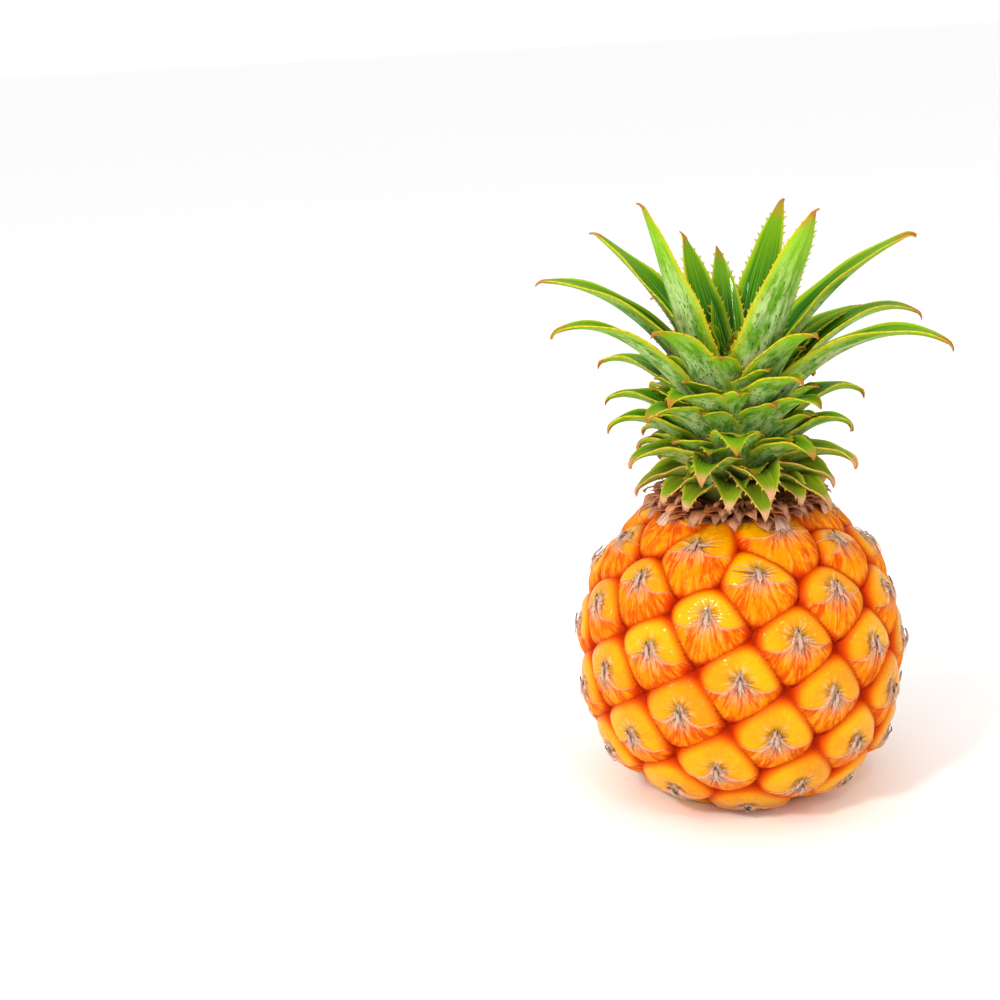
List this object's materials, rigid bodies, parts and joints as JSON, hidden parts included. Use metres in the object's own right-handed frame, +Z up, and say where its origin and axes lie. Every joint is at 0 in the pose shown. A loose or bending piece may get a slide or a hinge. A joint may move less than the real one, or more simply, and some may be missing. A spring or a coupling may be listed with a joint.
{
  "type": "pineapple",
  "caption": "Small ripe pineapple with raised diamond eyes, dry beaked bracts and a crown of toothed leaves, standing on its trimmed base.",
  "frame": {"origin": "centre of the trimmed base, on the surface that the fruit stands on", "axes": "+Z up along the axis of the fruit and its crown, -Y towards the side that the picture shows"},
  "size_m": [0.118, 0.1017, 0.181],
  "materials": {
    "golden_skin": "waxy golden orange skin, satin to glossy, drier grey and pink at the beaks",
    "green_leaf": "waxy green leaf with a silvery bloom outside and golden toothed edges",
    "dry_bract": "dry papery reddish brown",
    "cut_stalk": "dry cut fibre"
  },
  "bodies": {
    "root": {"fruit": "golden_skin", "crown": "green_leaf", "crown_collar": "dry_bract", "stalk": "cut_stalk"}
  },
  "joints": []
}
